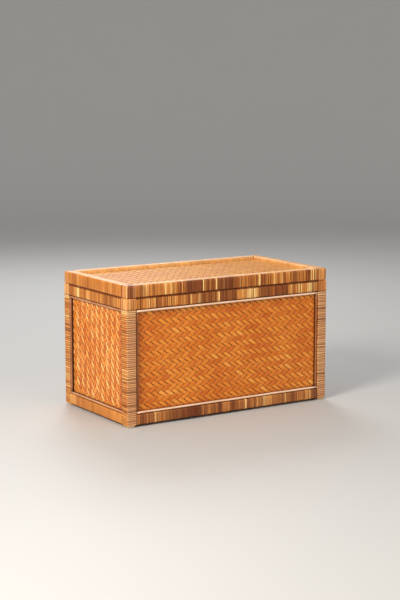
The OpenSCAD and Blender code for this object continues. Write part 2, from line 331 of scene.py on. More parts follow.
panelWood = {
    "grain": (7, 7, 420), "ringScale": (1.5, 1.5, 34), "ringWaver": 3.5, "rings": 0.2, "bands": "Z",
    "stops": (0.2, 0.55, 0.85), "spotScale": 6.0, "spots": (1.6, 0.75),
    "rough": 0.55, "roughGrain": 0.25, "bump": 0.25, "bumpDepth": 0.5 * mm,
    "dark": colour(150, 103, 62), "main": colour(190, 143, 94), "light": colour(214, 172, 124),
}
floorWood = dict(panelWood, grain=(7, 420, 7), ringScale=(1.5, 34, 1.5), bands="Y")
frameWood = dict(panelWood, dark=colour(128, 84, 48), main=colour(170, 120, 74), light=colour(196, 150, 104))
footWood = dict(panelWood, grain=(60, 60, 90), dark=colour(176, 132, 84), main=colour(232, 198, 148),
                light=colour(248, 226, 186))


# Old brass: colour = ramp(tarnish noise), with fine scratches along the leaves as relief
def brassMaterial(name, s):
    g = Graph(name)
    place = g.node("ShaderNodeTexCoord", None, None, "Object")
    tarnish = g.noise(place, s["tarnishScale"], detail=3.0, rough=0.55)
    scratch = g.noise(g.stretched(place, s["scratchScale"]), 1.0)
    base = g.ramp(tarnish, s["tarnish"])
    return g.finish(Base_Color=base, Metallic=1.0, Roughness=s["rough"] + tarnish * s["roughTarnish"],
                    Normal=g.bump(scratch, s["bump"], s["bumpDepth"]))


hingeBrass = {
    "tarnishScale": 90.0, "scratchScale": (4000, 160, 160),
    "tarnish": [(0.3, colour(146, 112, 60)), (0.5, colour(186, 150, 88)), (0.75, colour(214, 182, 118))],
    "rough": 0.28, "roughTarnish": 0.3, "bump": 0.15, "bumpDepth": 0.2 * mm,
}


finishes = {
    "rail": caneMaterial("rail_cane", railCane),
    "lidRail": caneMaterial("lid_rail_cane", lidRailCane),
    "post": caneMaterial("post_cane", postCane),
    "cap": caneMaterial("cap_cane", capCane),
    "bead": caneMaterial("bead_cane", beadCane),
    "mat": caneMaterial("mat_cane", matCane),
    "lidMat": caneMaterial("lid_mat_cane_painted_sheen", lidMatSheenCane),
    "sideMat": caneMaterial("side_mat_cane_painted_highlight", sideMatHighlightCane),
    "footWood": woodMaterial("foot_wood", footWood),
    "panelWood": woodMaterial("panel_wood", panelWood),
    "floorWood": woodMaterial("floor_wood", floorWood),
    "frameWood": woodMaterial("frame_wood", frameWood),
    "brass": brassMaterial("hinge_brass", hingeBrass),
}
print("materials made")


# Closed rectangle with a quarter circle at each corner: centre plus radius times (cos, sin), with
# points added along the flats. Gives points, outward normals and distance round.
def roundedOutline(low, high, radii, arcSteps=5, flatSteps=2):
    centres = [(low[0] + radii[0], low[1] + radii[0]), (high[0] - radii[1], low[1] + radii[1]),
               (high[0] - radii[2], high[1] - radii[2]), (low[0] + radii[3], high[1] - radii[3])]
    points, normals = [], []
    for k in range(4):
        angle = math.pi * (1 + k / 2) + np.linspace(0, math.pi / 2, arcSteps + 1)
        ring = np.stack([np.cos(angle), np.sin(angle)], axis=1)
        arc = np.array(centres[k]) + radii[k] * ring
        nextAngle = math.pi * (1 + (k + 1) / 2)
        nextStart = np.array(centres[(k + 1) % 4]) + radii[(k + 1) % 4] * np.array(
            [math.cos(nextAngle), math.sin(nextAngle)])
        t = np.linspace(0, 1, flatSteps + 2)[1:-1, None]
        points += [arc, arc[-1] * (1 - t) + nextStart * t]
        normals += [ring, np.repeat(ring[-1:], flatSteps, axis=0)]
    points, normals = np.concatenate(points), np.concatenate(normals)
    steps = np.linalg.norm(np.diff(points, axis=0, append=points[:1]), axis=1)
    return points, normals, np.concatenate([[0], np.cumsum(steps)])


# Strip edges from start to end, each strip about pitch wide, some wider and some narrower
def stripEdges(rng, start, end, pitch, spread):
    count = max(2, int(round((end - start) / pitch)))
    widths = 1 + spread * rng.uniform(-1, 1, count)
    return start + (end - start) * np.concatenate([[0], np.cumsum(widths)]) / widths.sum()


stainShape = {
    "reach": 1.25, "slope": 1.1, "edge": 2.2,    # a patch fades out past its half length
    "uneven": 0.7, "dark": (0.35, 0.8),          # least part of a patch's depth; stain of dark strips
}


# A tone and a stain for each strip: neighbours cut from one cane share a tone, patches stain a
# stretch of the length, the narrowest strips are dark, and a few are pale
def stripTones(rng, edges, s):
    count = len(edges) - 1
    middle = (edges[:-1] + edges[1:]) / 2
    place = (middle - edges[0]) / (edges[-1] - edges[0])
    group = np.cumsum(rng.random(count) < s["changeEvery"])
    tone = rng.normal(s["tone"], s["groupSpread"], group.max() + 1)[group]
    tone += rng.normal(0, s["stripSpread"], count)
    stain = np.zeros(count)
    for centre, half, depth in s["patches"]:
        inside = np.clip(stainShape["reach"] - np.abs(place - centre) / half * stainShape["slope"], 0, 1)
        level = np.minimum(1, inside * stainShape["edge"]) * rng.uniform(stainShape["uneven"], 1, count)
        stain = np.maximum(stain, depth * level)
    widths = np.diff(edges)
    dark = widths < np.quantile(widths, s["darkStrips"])
    stain = np.where(dark, np.maximum(stain, rng.uniform(*stainShape["dark"], count)), stain)
    for centre, half, lift in s["pale"]:
        tone += lift * (np.abs(place - centre) < half)
    for centre in s["paleStrips"]:
        k = int(np.argmin(np.abs(place - centre)))
        tone[k], stain[k] = 1.0, 0.0
    return np.clip(tone, 0, 1), np.clip(stain, 0, 1)


stripProfile = {
    "across": [0.0, 0.08, 0.30, 0.70, 0.92],    # places across a strip
    "open": [0.0, 0.14, 0.02, -0.02, -0.14],    # how far each moves in beside an open joint
    "sink": [1.0, 0.25, 0.0, 0.0, 0.25],        # how far each is sunk, as a part of the joint's depth
    "height": [0.0, 0.8, 1.0, 1.0, 0.8],        # the same for the shader
    "jointDepth": (0.45, 0.75),                 # a shut joint's part of the depth, and what opening adds
    "endSink": 0.25,                            # the sleeve's two ends, as a part of the joint's depth
    "uneven": 0.22 * mm,
    "slant": 0.35 * mm, "leastSlant": 0.3,
    "seamShadeEdge": (0.4, 0.12),                   # where the painted shade on a seam side begins and stops
}
perStrip = len(stripProfile["across"])


# Stations along a run of strips, perStrip to a strip and one to end it. Gives their places, how far
# each is sunk and its height for the shader; open joints are deeper, wider and darker.
def stripStations(rng, edges, s):
    p = stripProfile
    count = len(edges) - 1
    width = np.diff(edges)[:, None]
    openness = rng.random(count + 1) ** s["openJoints"]
    near = np.stack([openness[:-1]] * 3 + [openness[1:]] * 2, axis=1)
    part = np.array(p["across"]) + np.array(p["open"]) * near * s["gap"]
    joint = s["joint"] * (p["jointDepth"][0] + p["jointDepth"][1] * near)
    sunk = np.array(p["sink"])
    crown = p["uneven"] * rng.random((count, 1))
    height = np.tile(p["height"], (count, 1))
    height[:, 0] = s["shut"] * (1 - openness[:-1])
    places = np.append((edges[:-1, None] + width * part).ravel(), edges[-1])
    sink = np.append((sunk * joint + (1 - sunk) * crown).ravel(), joint[-1, -1])
    return places, sink, np.append(height.ravel(), 0.0)


hinge = {
    "length": 60 * mm, "clear": 0.6 * mm,
    "below": 0.45 * mm, "behind": 0.75 * mm,    # how far past the wrap's inside the two skins go
    "facing": 0.2,                              # how squarely the cane must face the seam
}


# Sinks a back rail's cane on its seam side under the hinge leaves, where x and y lie over a leaf.
# The last two rows are the sleeve's inside, and go deeper still.
def hingeRecess(depth, along, y, seam, wrap):
    low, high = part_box("hinge_pins")
    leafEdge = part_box("hinge_body_leaves")[0].y
    middle = (high.x - low.x) / 2 - hinge["length"] / 2
    over = np.abs(np.abs(along) - middle) < hinge["length"] / 2 + hinge["clear"]
    under = (seam > hinge["facing"]) & (y > leafEdge)
    sunk = np.full(len(along), wrap + hinge["below"])
    sunk[-2:] = wrap + hinge["behind"]
    over[-2:] = True
    return np.where(over[:, None] & under[None], sunk[:, None], depth)


# A bar wound with cane. Along the bar the surface dips at every strip edge; round it the dipped
# line follows the outline: point = outline - sink * normal. The sleeve closes through its inside.
def windBar(rng, low, high, axis, radii, s, wrap):
    flat = [k for k in range(3) if k != axis]
    outline, normal, arc = roundedOutline(low[flat], high[flat], radii)
    edges = stripEdges(rng, low[axis], high[axis], s["pitch"], s["widthSpread"])
    tone, stain = stripTones(rng, edges, s)
    count, cols = len(tone), len(outline)
    along, sink, heights = stripStations(rng, edges, s)
    along = np.concatenate([along, [high[axis], low[axis]]])
    sink = np.concatenate([sink, [wrap, wrap]])
    heights = np.concatenate([heights, [0, 0]])
    sink[[0, -3]] = stripProfile["endSink"] * s["joint"]
    # joints lean and wander a little on their way round the bar
    phase = rng.uniform(0, 2 * math.pi, count + 1)
    lean = stripProfile["slant"] * rng.uniform(stripProfile["leastSlant"], 1, count + 1)
    lean[[0, -1]] = 0
    wander = lean[:, None] * np.sin(2 * math.pi * arc[:-1] / arc[-1] + phase[:, None])
    part = np.array(stripProfile["across"])[None, :, None]
    drift = (wander[:-1, None] * (1 - part) + wander[1:, None] * part).reshape(-1, cols)
    drift = np.concatenate([drift, np.zeros((3, cols))])
    rows = len(along)
    strip = np.minimum(np.arange(rows) // perStrip, count - 1)
    facing = np.zeros((cols, 3))
    facing[:, flat] = normal
    seam = facing @ np.array(s["seamShadeTo"])
    depth = np.repeat(sink[:, None], cols, axis=1)
    if s["hinges"]:
        depth = hingeRecess(depth, along, outline[:, 0], seam, wrap)
    points = np.zeros((rows, cols, 3))
    points[:, :, axis] = along[:, None] + drift
    points[:, :, flat] = outline[None] - depth[:, :, None] * normal[None]
    # painted shade on the side of the rail that faces the seam between lid and body
    begin, stop = stripProfile["seamShadeEdge"]
    paintedShade = np.clip(np.minimum(seam / begin, (1 - seam) / stop), 0, 1)
    # painted sheen: faces turned the given way are washed pale, the lid rails' lit tops and the front faces
    sheen = np.clip(facing @ np.array(s["sheenTo"]), 0, 1) * s["sheen"]
    flatCols, flatRows = np.ones((1, cols)), np.ones((rows, 1))
    # the strip's stain, less under the painted sheen, with the painted shade of the seam over it
    stainAndShade = np.maximum(stain[strip][:, None] * (1 - sheen * s["sheenHidesStain"]), flatRows * paintedShade * s["paintedShade"])
    return stripShell(points, gridFaces(rows, cols, True, True), tone[strip], heights[:, None] * flatCols,
                      stainAndShade, flatRows * sheen, along[:, None] * np.ones((1, cols + 1)), flatRows * arc)


wrapThickness = 1.42 * mm
plainStrips = {
    "pitch": 5.4 * mm, "widthSpread": 0.6, "tone": 0.56, "groupSpread": 0.12, "stripSpread": 0.10,
    "changeEvery": 0.3, "patches": [], "darkStrips": 0.16, "pale": [], "paleStrips": [],
    "joint": 0.8 * mm, "gap": 1.0, "openJoints": 0.8, "shut": 0.4, "paintedShade": 0.0, "seamShadeTo": (0, 0, 1),
    "sheen": 0.0, "sheenTo": (0, -1, 0), "sheenHidesStain": 0.0, "hinges": False,
}
# painted shade along the seam between lid and body; the lid rails also carry painted sheen on their lit
# faces
lidStrips = dict(plainStrips, paintedShade=1.0, seamShadeTo=(0, 0, -1), sheen=0.8, sheenHidesStain=0.9)
topStrips = dict(plainStrips, paintedShade=1.0, seamShadeTo=(0, 0, 1))
frontStrips = {"stripSpread": 0.13, "darkStrips": 0.24}
# patches: (centre, half length, depth), along each rail from its low end, as parts of its length
railStrips = {
    "lid_rail_wrap_front": dict(
        lidStrips, **frontStrips, sheenTo=(0, 1, 1), tone=0.52, pale=[(0.15, 0.12, 0.12)],
        paleStrips=[0.35, 0.42, 0.66, 0.955, 0.97, 0.985],
        patches=[(0.03, 0.02, 0.5), (0.29, 0.04, 0.9), (0.385, 0.035, 0.55), (0.475, 0.05, 1.0),
                 (0.66, 0.02, 0.35)]),
    "lid_rail_wrap_left": dict(
        lidStrips, sheenTo=(1, 0, 1), tone=0.58, stripSpread=0.05, groupSpread=0.045, darkStrips=0.01,
        openJoints=2.5, shut=0.6, patches=[(0.62, 0.012, 0.4)]),
    "lid_rail_wrap_back": dict(
        lidStrips, hinges=True, sheenTo=(0, -1, 1), patches=[(0.7, 0.05, 0.7), (0.93, 0.04, 0.6)]),
    "lid_rail_wrap_right": dict(lidStrips, sheenTo=(-1, 0, 1), patches=[(0.4, 0.05, 0.6)]),
    "top_rail_wrap_front": dict(
        topStrips, **frontStrips, tone=0.49, paleStrips=[0.44, 0.935],
        pale=[(0.15, 0.15, 0.1), (0.6, 0.06, 0.12), (0.875, 0.07, 0.16)],
        patches=[(0.375, 0.055, 0.6), (0.485, 0.05, 0.85), (0.69, 0.03, 0.7), (0.785, 0.035, 0.6),
                 (0.97, 0.015, 0.45)]),
    "top_rail_wrap_left": dict(
        topStrips, stripSpread=0.07, darkStrips=0.06, openJoints=1.6, shut=0.5,
        patches=[(0.18, 0.07, 0.45), (0.3, 0.05, 0.3)]),
    "top_rail_wrap_back": dict(topStrips, hinges=True, patches=[(0.3, 0.06, 0.8)]),
    "top_rail_wrap_right": dict(topStrips, patches=[(0.7, 0.08, 0.6)]),
    # its front face carries a little painted sheen
    "bottom_rail_wrap_front": dict(
        plainStrips, tone=0.46, sheen=0.15, darkStrips=0.28, stripSpread=0.12, pale=[(0.75, 0.1, 0.1)],
        patches=[(0.19, 0.05, 0.75), (0.28, 0.06, 1.0), (0.52, 0.03, 0.3), (0.68, 0.02, 0.35),
                 (0.85, 0.03, 0.35)]),
    "bottom_rail_wrap_left": dict(
        plainStrips, pitch=12 * mm, tone=0.64, groupSpread=0.05, stripSpread=0.03, changeEvery=0.1,
        darkStrips=0, openJoints=4, shut=0.85),
    "bottom_rail_wrap_back": dict(plainStrips, patches=[(0.6, 0.08, 0.8)]),
    "bottom_rail_wrap_right": dict(plainStrips, patches=[(0.3, 0.06, 0.6)]),
}
# edge radii of each kind of rail, in mm: outer low, inner low, inner high, outer high
railEdges = {"lid": (5, 3, 8, 8), "top": (5, 3, 3, 5), "bottom": (5, 3, 3, 5)}


# Winds each rail between its node's corners. Outer edges are round, inner ones sharper.
def windRails():
    for k, (node, s) in enumerate(railStrips.items()):
        low, high = (np.array(v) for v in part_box(node))
        side = node.rsplit("_", 1)[1]
        outLow, inLow, inHigh, outHigh = (r * mm for r in railEdges[node.split("_")[0]])
        radii = (inLow, outLow, outHigh, inHigh)
        if side in ("front", "left"):
            radii = (outLow, inLow, inHigh, outHigh)
        axis = 0 if side in ("front", "back") else 1
        rng = np.random.default_rng(seeds["rails"] + k)
        skin = windBar(rng, low, high, axis, radii, s, wrapThickness)
        body = "lid" if node.startswith("lid") else "body"
        finish = finishes["lidRail" if body == "lid" else "rail"]
        makePiece(node.replace("wrap", "cane"), [skin], body, "rail_cane", finish, node)


# painted reflection: the posts' front faces are washed pale, as if reflecting the pale room
postStrips = dict(
    plainStrips, pitch=6.5 * mm, widthSpread=0.4, tone=0.61, groupSpread=0.06, stripSpread=0.13,
    changeEvery=0.15, darkStrips=0.08, gap=1.4, joint=0.9 * mm, openJoints=0.35, shut=0.1, sheen=0.8,
    paleStrips=[0.98, 0.995])
postEdges = {"outer": 6 * mm, "inner": 3 * mm}
cornerOrder = [(-1, -1), (1, -1), (1, 1), (-1, 1)]    # the order of an outline's corners


# Winds each post between its node's corners, with its outer edge rounder than the other three
def windPosts():
    for k, (name, c) in enumerate(corners.items()):
        node = "post_wrap_" + name
        low, high = (np.array(v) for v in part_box(node))
        radii = [postEdges["inner"]] * 4
        radii[cornerOrder.index(c)] = postEdges["outer"]
        rng = np.random.default_rng(seeds["posts"] + k)
        skin = windBar(rng, low, high, 2, radii, postStrips, wrapThickness)
        makePiece("post_cane_" + name, [skin], "body", "post_cane", finishes["post"], node)


windRails()
windPosts()
print("rails and posts wound")


weave = {
    "alongTwill": 27.5 * mm,         # pitch of the floats along a twill line
    "acrossTwill": 37 * mm,          # pitch of the twill lines
    "fill": (0.92, 0.985),           # strip width as a part of the room it has: loose family, tight one
    "narrowest": 0.95,               # least width of a strip, as a part of the full one
    "stray": 0.15 * mm,              # how far a strip strays sideways
    "shut": 0.55,                    # height for the shader at the edges of the tight family, painting its joints paler, so only the other family's dark edges stand for shadow away from the light
    "shade": (0.62, 0.5),            # height for the shader half way up, and what rising adds
    "middle": 1.05 * mm,             # the strips' mean place above the board
    "rise": 0.72 * mm,               # how far a strip swings to each side of the middle
    "swing": (0.8, 1.1),             # how much each crossing's swing varies
    "flatness": 0.8,                 # under 1 flattens the top of the swing
    "phase": (0.5, -2.5),            # where each family's swing begins, in crossings
    "patch": (0.72, 2.2),            # how rare the stained crossings are, and how sharp
    "shortest": 0.4,                 # the shortest strip kept, in crossings
    "perCrossing": 4,                # rows of points to a crossing
    "uvApart": (0.05, 3),            # keeps the strips apart on the UV map
    "section": [(-1, -0.16), (-0.84, 0.08), (-0.35, 0.26), (0.35, 0.26), (0.84, 0.08), (1, -0.16),
                (0.7, -0.30), (-0.7, -0.30)],    # part of the half width, height in mm
    "edge": [0.0, 0.7, 1.0, 1.0, 0.7, 0.0, 0.0, 0.0],
}


# Slanted strips of two families, P = i * e1 + j * e2, where e1 and e2 lean to either side of the
# twill lines. A strip rises as cos((own - k - phase) * 90 degrees): over two crossings, under two.
# Every line along a strip is cut at the panel's edges.
def weaveMat(rng, low, high, a, b, c, out, s):
    half = np.array([high[a] - low[a], high[b] - low[b]]) / 2
    middle = np.array([high[a] + low[a], high[b] + low[b]]) / 2
    back = low[c] if out > 0 else high[c]
    vectors = np.array([[weave["alongTwill"] / 2, weave["acrossTwill"] / 4],
                        [weave["alongTwill"] / 2, -weave["acrossTwill"] / 4]])
    area = abs(np.linalg.det(vectors))
    section = np.array(weave["section"])
    edge = np.array(weave["edge"])
    toLattice = np.linalg.inv(vectors.T)
    reach = int(np.ceil(np.abs(toLattice).sum(axis=1).max() * half.max())) + 2
    shells = []
    for family in range(2):
        run, step = vectors[family], vectors[1 - family]
        length = np.linalg.norm(run)
        sideways = np.array([-run[1], run[0]]) / length
        for k in range(-reach, reach + 1):
            tight = family == s["tight"]
            width = area / length * weave["fill"][tight] * rng.uniform(weave["narrowest"], 1.0)
            offset = section[:, 0] * width / 2 + rng.normal(0, weave["stray"])
            # tone, with each family's painted highlight
            tone = s["tone"] + s["families"][family] + rng.normal(0, s["stripSpread"])
            swing = rng.uniform(*weave["swing"], 2 * reach + 3)
            patchy = rng.random(2 * reach + 3)
            start = k * step[None] + offset[:, None] * sideways
            ends = np.sort(np.stack([(-half - start) / run, (half - start) / run]), axis=0)
            first, last = ends[0].max(axis=1), ends[1].min(axis=1)
            if (last - first).min() < weave["shortest"]:
                continue
            rows = max(3, int(np.ceil((last - first).max() * weave["perCrossing"])) + 1)
            u = first + (last - first) * np.linspace(0, 1, rows)[:, None]
            flat = start[None] + u[:, :, None] * run
            own = flat @ toLattice.T
            phase = own[:, :, family] - k - weave["phase"][family]
            wave = np.cos(phase * math.pi / 2)
            wave = np.sign(wave) * np.abs(wave) ** weave["flatness"]
            index = np.arange(-reach - 1, reach + 2)
            lift = weave["rise"] * wave * np.interp(own[:, :, family], index, swing)
            depth = weave["middle"] + lift + section[:, 1] * mm
            points = np.zeros((rows, len(section), 3))
            points[:, :, a] = middle[0] + flat[:, :, 0]
            points[:, :, b] = middle[1] + flat[:, :, 1]
            points[:, :, c] = back + out * depth
            halfWay, rising = weave["shade"]
            height = np.maximum(edge, weave["shut"] * tight) * np.clip(halfWay + rising * wave, 0, 1)
            rarity, sharpness = weave["patch"]
            stain = (np.interp(own[:, :, family], index, patchy) - rarity) * sharpness
            stain = np.clip(stain, 0, 1) * s["patchy"]
            across = np.append(offset, offset[0]) + weave["uvApart"][0] * k + weave["uvApart"][1] * family
            along = np.concatenate([u, u[:, :1]], axis=1) * length
            toneWithPaintedLight = np.full(rows, np.clip(tone, 0, 1))
            shells.append(stripShell(points, tubeFaces(rows, len(section)), toneWithPaintedLight, height, stain,
                                     np.zeros_like(height), across[None] * np.ones((rows, 1)), along))
    return shells


# one family of strips painted paler than the other: painted highlight where the side light catches one slant
plainMat = {"tone": 0.5, "stripSpread": 0.06, "families": (-0.07, 0.07), "tight": 0, "patchy": 0.45}
endMat = dict(plainMat, families=(0.24, -0.05), tight=1)
# axes: along the twill, across it and out of the panel
mats = {
    "mat_front": dict(plainMat, axes=(0, 2, 1), out=-1, material="mat"),
    "mat_back": dict(plainMat, axes=(0, 2, 1), out=1, material="mat"),
    "mat_left": dict(endMat, axes=(2, 1, 0), out=-1, material="sideMat"),
    "mat_right": dict(endMat, axes=(2, 1, 0), out=1, material="sideMat"),
    "lid_mat": dict(plainMat, axes=(0, 1, 2), out=1, material="lidMat"),
}


# Weaves each mat between its node's corners
def weaveMats():
    for k, (node, s) in enumerate(mats.items()):
        low, high = (np.array(v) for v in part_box(node))
        rng = np.random.default_rng(seeds["mats"] + k)
        shells = weaveMat(rng, low, high, *s["axes"], s["out"], s)
        body = "lid" if node == "lid_mat" else "body"
        makePiece("woven_" + node, shells, body, "woven_cane", finishes[s["material"]], node)


weaveMats()
print("mats woven")


# Plan outline of a corner block from one face, round the corner's arc, to the next face. Gives
# points, outward normals and how far in from each point the diagonal lies.
def cornerPlan(stations, width, radius):
    flat = width - radius
    arc = radius * math.pi / 2
    t = stations
    angle = np.clip((t - flat) / radius, 0, math.pi / 2)
    normal = np.stack([-np.sin(angle), -np.cos(angle)], axis=1)
    centre = np.array([radius, radius])
    start = np.array([1.0, 0.0]) * np.maximum(flat - t, 0)[:, None]
    stop = np.array([0.0, 1.0]) * np.maximum(t - flat - arc, 0)[:, None]
    inward = radius + np.maximum(flat - t, 0) + np.maximum(t - flat - arc, 0)
    return centre + radius * normal + start + stop, normal, inward


# Inner part of a cap's profile at every station, from start to that station's inward depth: flat, and
# then down a quarter circle where it comes within edge of the full width. Its depth, fall and normal.
def capReturn(start, inward, width, edge):
    bend = width - edge
    level = np.linspace(start, inward, 8, axis=-1)[:, 1:]
    before = np.repeat(np.linspace(start, bend, 4)[None, 1:], len(inward), axis=0)
    bent = np.concatenate([before, np.linspace(bend, inward, 5, axis=-1)[:, 1:]], axis=1)
    depth = np.where((inward > bend)[:, None], bent, level)
    lean = np.clip((depth - bend) / edge, 0, 0.999)    # just short of level, so the normal stays upright
    upright = np.sqrt(1 - lean ** 2)
    return depth, edge * (1 - upright), -lean, upright


# Profile of a cap at every station: in along the underside, round the low edge, up the face, round the
# high edge and in along the top. As depth in from the face, height, and the outward normal's two parts.
def capProfile(inward, low, high, s):
    lowEdge, highEdge = s["lowEdge"], s["highEdge"]
    angle = np.linspace(0, math.pi / 2, 5)
    c, d = np.cos(angle), np.sin(angle)
    lowArc = np.stack([lowEdge * (1 - d), low + lowEdge * (1 - c), d, -c], axis=1)
    highArc = np.stack([highEdge * (1 - c), high - highEdge * (1 - d), c, d], axis=1)
    level = low + lowEdge + (high - highEdge - low - lowEdge) * np.array([0.25, 0.5, 0.75])
    face = np.stack([np.zeros(3), level, np.ones(3), np.zeros(3)], axis=1)
    depth, fall, outwards, upwards = capReturn(highEdge, inward, s["width"], s["innerHigh"])
    top = np.stack([depth, high - fall, outwards, upwards], axis=-1)
    start = np.array([[0, low, 1, 0]]) if s["open"] else lowArc
    outside = np.repeat(np.concatenate([start, face, highArc])[None], len(inward), axis=0)
    if s["open"]:
        return np.concatenate([outside, top], axis=1)
    depth, fall, outwards, upwards = capReturn(lowEdge, inward, s["width"], s["innerLow"])
    under = np.stack([depth, low + fall, outwards, -upwards], axis=-1)
    return np.concatenate([under[:, ::-1], outside, top], axis=1)


# Cane strips laid up the outside of a corner and over it. Each station round the corner carries the
# profile inwards as far as the diagonal, so the strips of the two faces meet in a mitre:
# point = plan - normal * (profile's depth + sink), at the profile's height.
def capCorner(rng, corner, turn, low, high, s):
    span = 2 * (s["width"] - s["plan"]) + s["plan"] * math.pi / 2
    edges = stripEdges(rng, 0, span, s["pitch"], s["widthSpread"])
    tone, stain = stripTones(rng, edges, s)
    around, sink, heights = stripStations(rng, edges, s)
    plan, normal, inward = cornerPlan(around, s["width"], s["plan"])
    profile = capProfile(inward, low, high, s)
    skin = np.concatenate([profile, profile[:, ::-1]], axis=1)
    outer = np.repeat(sink[:, None], profile.shape[1], axis=1)
    depth = np.concatenate([outer, np.full(outer.shape, wrapThickness)], axis=1)
    flat = plan[:, None] - normal[:, None] * (skin[:, :, 0] + depth * skin[:, :, 2])[:, :, None]
    points = np.stack([corner[0] - turn[0] * flat[:, :, 0], corner[1] - turn[1] * flat[:, :, 1],
                       skin[:, :, 1] - depth * skin[:, :, 3]], axis=-1)
    rows, cols = points.shape[:2]
    steps = np.linalg.norm(np.diff(skin[:, :, :2], axis=1), axis=2)
    arcs = np.concatenate([np.zeros((rows, 1)), np.cumsum(steps, axis=1),
                           2 * steps.sum(axis=1, keepdims=True)], axis=1)
    strip = np.minimum(np.arange(rows) // perStrip, len(tone) - 1)
    ones = np.ones((1, cols))
    return stripShell(points, tubeFaces(rows, cols), tone[strip], heights[:, None] * ones,
                      stain[strip][:, None] * ones, np.zeros((rows, cols)),
                      around[:, None] * np.ones((1, cols + 1)), arcs)


plainCap = dict(plainStrips, pitch=4.6 * mm, tone=0.66, joint=0.6 * mm, darkStrips=0.14)
lidCap = dict(plainCap, width=39 * mm, plan=11 * mm, lowEdge=5 * mm, highEdge=8 * mm, innerLow=3 * mm,
              innerHigh=8 * mm, open=False)
postCap = dict(plainCap, width=39 * mm, plan=6 * mm, lowEdge=0, highEdge=5 * mm, innerHigh=1 * mm, open=True)
# the corner of a post that stands inside the trunk, its top just under the outer cap's
innerCap = dict(postCap, width=9.5 * mm, plan=3 * mm, highEdge=3 * mm, under=0.4 * mm)
nearLidCap = dict(lidCap, pitch=6.6 * mm, tone=0.5,
                  patches=[(0.08, 0.07, 0.6), (0.25, 0.08, 0.75), (0.36, 0.05, 0.6)])


# Caps the lid's four corners and the four posts; each post's inner corner has its own small cap
def capCorners():
    for node, s, body in [("lid_caps", lidCap, "lid"), ("post_caps", postCap, "body")]:
        low, high = (np.array(v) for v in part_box(node))
        shells = []
        for k, c in enumerate(corners.values()):
            settings = nearLidCap if (node, c) == ("lid_caps", (-1, -1)) else s
            corner = np.where(np.array(c) < 0, low[:2], high[:2])
            rng = np.random.default_rng(seeds["lidCaps" if body == "lid" else "postCaps"] + k)
            shells.append(capCorner(rng, corner, c, low[2], high[2], settings))
            if node == "post_caps":
                rng = np.random.default_rng(seeds["innerCaps"] + k)
                inner = corner - np.array(c) * postCap["width"]
                top = high[2] - innerCap["under"]
                shells.append(capCorner(rng, inner, (-c[0], -c[1]), low[2], top, innerCap))
        makePiece("cane_" + node, shells, body, "cane_corner", finishes["cap"], node)


capCorners()
print("corners capped")


bead = {
    "width": 8.5 * mm, "spacing": 22 * mm, "roundSteps": 9,
    "waver": 0.25 * mm, "waves": (21.0, 47.0),    # size, and radians to the metre
    "shade": (0.55, 0.38), "paintedShade": 0.8,          # where the painted shade begins, over how much of the depth; how dark it is painted
    # tone of the level beads and of the upright ones, with painted light: level ones painted paler as lit,
    # upright ones darker as in shade
    "toneWithPaintedLight": {"front": (0.85, 0.2), "back": (0.6, 0.4), "left": (0.5, 0.3), "right": (0.6, 0.4)},
    "toneSpread": 0.08,
}


# A straight bar with a round front: its section is two sides and a half circle, carried from one
# end to the other with a slight waver
def beadBar(rng, centre, half, along, across, c, out, depth, tone, s):
    r = s["width"] / 2
    angle = np.linspace(0, math.pi, s["roundSteps"])
    front = np.stack([r * np.cos(angle), depth - r + r * np.sin(angle)], axis=1)
    section = np.concatenate([[[r, 0], [r, (depth - r) / 2]], front, [[-r, (depth - r) / 2], [-r, 0]],
                              [[0, 0]]])
    rows = max(4, int(2 * half / s["spacing"]))
    t = np.linspace(-half, half, rows)
    phase = rng.uniform(0, 6, 2)
    waver = s["waver"] * np.sin(t[:, None] * np.array(s["waves"]) + phase).sum(axis=1) * 0.5
    points = np.zeros((rows, len(section), 3))
    points[:, :, along] = centre[0] + t[:, None]
    points[:, :, across] = centre[1] + section[None, :, 0] + waver[:, None]
    points[:, :, c] = centre[2] + out * section[None, :, 1]
    # painted shade: the bead's sides darken towards the back of the recess, through the joint colour and the
    # stain
    begin, reach = s["shade"]
    shade = np.clip((section[:, 1] - begin * depth) / (reach * depth), 0, 1)
    arc = np.cumsum(np.linalg.norm(np.diff(section, axis=0, prepend=section[:1]), axis=1))
    arc = np.append(arc, arc[-1] + r)
    ones = np.ones((rows, 1))
    toneWithPaintedLight = np.full(rows, tone + rng.uniform(-s["toneSpread"], s["toneSpread"]))
    return stripShell(points, tubeFaces(rows, len(section)), toneWithPaintedLight, ones * shade,
                      ones * (1 - shade) * s["paintedShade"], np.zeros((rows, len(section))), ones * arc,
                      t[:, None] * np.ones((1, len(arc))))


# Lays four beads round each panel: two level ones, and two upright ones between them
def layBeads():
    for k, side in enumerate(sides):
        low, high = (np.array(v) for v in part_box("beads_" + side))
        c = 1 if side in ("front", "back") else 0
        along = 1 - c
        out = -1 if side in ("front", "left") else 1
        back = high[c] if out < 0 else low[c]
        depth = high[c] - low[c]
        rng = np.random.default_rng(seeds["beads"] + k)
        middle, half = (low + high) / 2, (high - low) / 2
        r = bead["width"] / 2
        shells = []
        for end in (-1, 1):
            level = middle[2] + end * (half[2] - r)
            shells.append(beadBar(rng, (middle[along], level, back), half[along], along, 2, c, out, depth,
                                  bead["toneWithPaintedLight"][side][0], bead))
        for end in (-1, 1):
            place = middle[along] + end * (half[along] - r)
            reach = half[2] - bead["width"]
            shells.append(beadBar(rng, (middle[2], place, back), reach, 2, along, c, out, depth,
                                  bead["toneWithPaintedLight"][side][1], bead))
        makePiece("cane_beads_" + side, shells, "body", "cane_bead", finishes["bead"], "beads_" + side)


layBeads()
print("beads laid")


foot = {
    "size": 28 * mm, "round": 0.16,    # side at full size, and the corner radius as a part of it
    "levels": [(0.0, 0.86), (0.07, 0.93), (0.2, 0.98), (0.85, 1.19), (1.0, 1.21)],    # height, size
}


